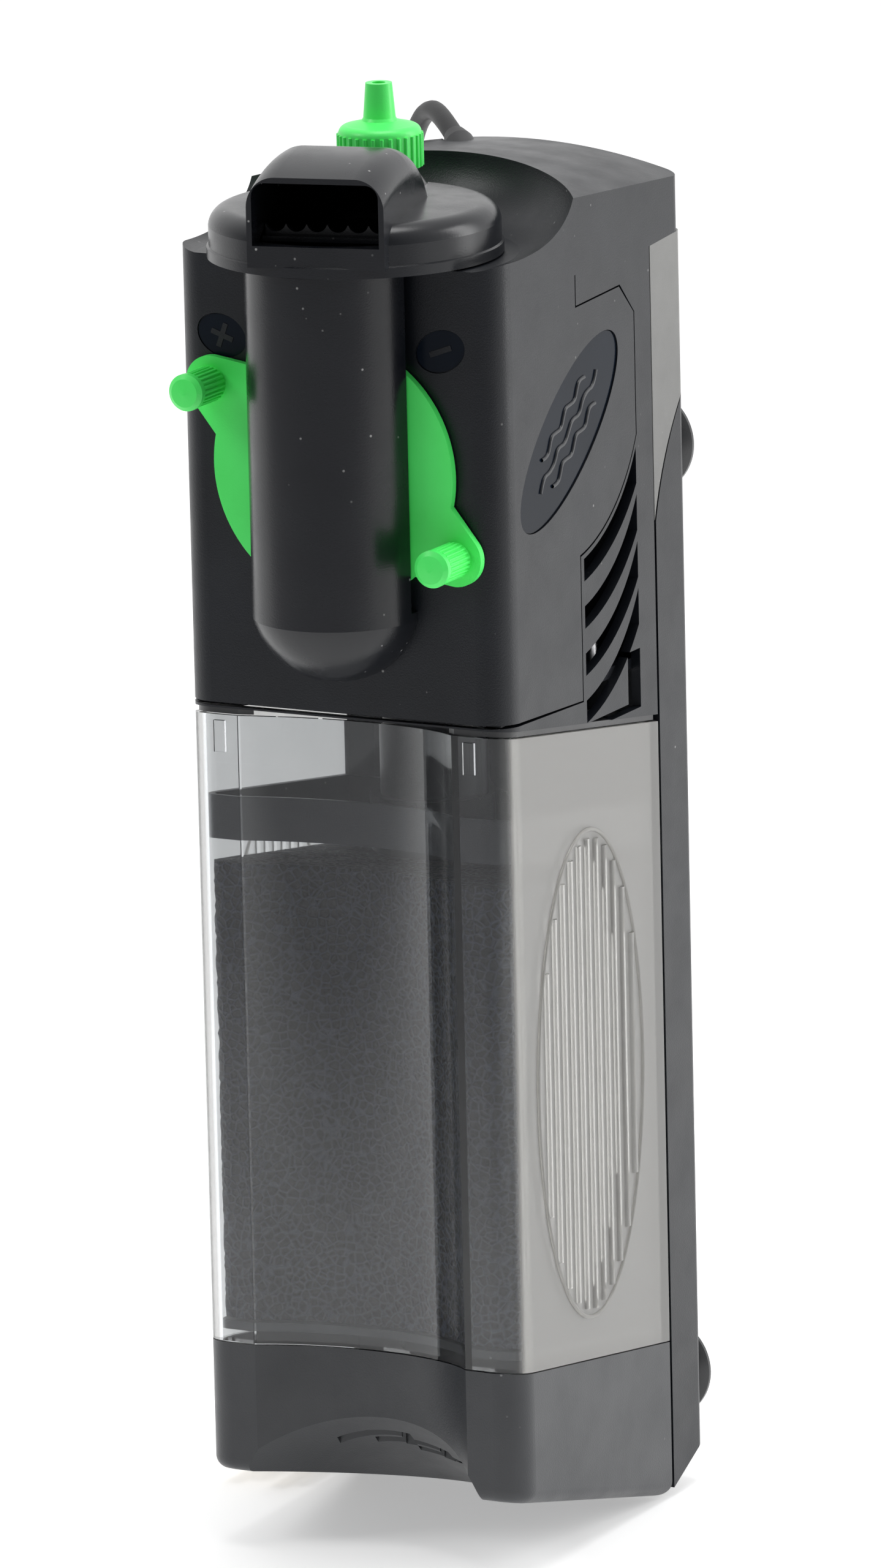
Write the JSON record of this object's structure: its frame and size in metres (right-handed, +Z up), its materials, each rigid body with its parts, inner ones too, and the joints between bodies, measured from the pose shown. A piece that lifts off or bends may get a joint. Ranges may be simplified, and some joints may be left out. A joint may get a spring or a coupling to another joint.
{
  "type": "internal power filter",
  "caption": "Internal aquarium power filter: black pump head with a swivelling nozzle and green flow dial, clear sponge container, intake cup and suction-cup holder.",
  "frame": {"origin": "centre of the four suction cups, on the plane of the glass they hold", "axes": "+Z up, -Y out of the glass towards the filter's front (outlet tube and flow dial), +X to the right as seen from the front"},
  "size_m": [0.1028, 0.1956, 0.331],
  "materials": {
    "black_plastic": "satin, fine moulded grain",
    "nozzle_plastic": "semi-gloss",
    "base_plastic": "satin, fine moulded grain",
    "badge_plastic": "polished dark blue",
    "green_plastic": "semi-gloss",
    "smoke_clear": "clear, smoke tinted",
    "foam": "open-cell foam",
    "rubber": "matte",
    "soft_rubber": "smooth",
    "resin": "cast",
    "core_steel": "laminated",
    "copper": "enamelled wire",
    "ferrite": "ground",
    "white_plastic": "moulded",
    "steel": "bright",
    "brass": "plated"
  },
  "bodies": {
    "holder": {"holder_bracket": "black_plastic", "suction_cup_upper_left": "soft_rubber", "suction_cup_upper_right": "soft_rubber", "suction_cup_lower_left": "soft_rubber", "suction_cup_lower_right": "soft_rubber"},
    "container": {"filter_container": "smoke_clear", "strainer_tray": "black_plastic", "sponge": "foam", "sponge_core": "black_plastic", "sponge_grid": "black_plastic"},
    "base": {"base_cup": "base_plastic"},
    "nozzle": {"nozzle": "nozzle_plastic", "flow_comb": "nozzle_plastic", "air_pipe": "nozzle_plastic"},
    "air_cap": {"air_cap": "green_plastic"},
    "dial": {"flow_dial": "green_plastic"},
    "rotor": {"rotor_magnet": "ferrite", "impeller": "white_plastic"},
    "filter": {"front_cover": "black_plastic", "side_badge_right": "badge_plastic", "side_badge_left": "badge_plastic", "rear_casing": "black_plastic", "rear_cover": "black_plastic", "lid": "black_plastic", "cord_gland": "rubber", "outlet_tube": "nozzle_plastic", "dial_pivot": "steel", "nozzle_seal": "rubber", "rotor_well": "black_plastic", "impeller_shaft": "steel", "shaft_bushing_upper": "soft_rubber", "shaft_bushing_lower": "soft_rubber", "volute_cover": "black_plastic", "riser_duct": "black_plastic", "stator_core": "core_steel", "coil_winding": "copper", "motor_block": "resin", "motor_lead": "rubber", "intake_plate": "black_plastic", "housing_screws": "steel", "seal_gasket": "soft_rubber", "hanger_rail": "black_plastic", "power_cord": "rubber", "cord_coil": "rubber", "cord_tie": "white_plastic", "plug_body": "black_plastic", "plug_pins": "brass"}
  },
  "joints": [
    {"name": "filter_lift", "type": "slide", "parent": "holder", "child": "filter", "axis": [0, 0, 1], "range_m": [0, 0.05]},
    {"name": "container_release", "type": "slide", "parent": "filter", "child": "container", "axis": [0, 0, -1], "range_m": [0, 0.11]},
    {"name": "base_release", "type": "slide", "parent": "container", "child": "base", "axis": [0, 0, -1], "range_m": [0, 0.035]},
    {"name": "nozzle_swivel", "type": "hinge", "parent": "filter", "child": "nozzle", "pos_m": [0, -0.089, 0.1657], "axis": [0, 0, 1], "range_deg": [-102, 78]},
    {"name": "air_regulator", "type": "hinge", "parent": "nozzle", "child": "air_cap", "pos_m": [-0.00457, -0.06748, 0.1809], "axis": [0, 0, 1], "range_deg": [-90, 90]},
    {"name": "flow_control", "type": "hinge", "parent": "filter", "child": "dial", "pos_m": [0, -0.1014, 0.1192], "axis": [0, -1, 0], "range_deg": [0, 60]},
    {"name": "rotor_spin", "type": "hinge", "parent": "filter", "child": "rotor", "pos_m": [0, -0.057, 0.11], "axis": [0, 0, 1], "continuous": true}
  ]
}
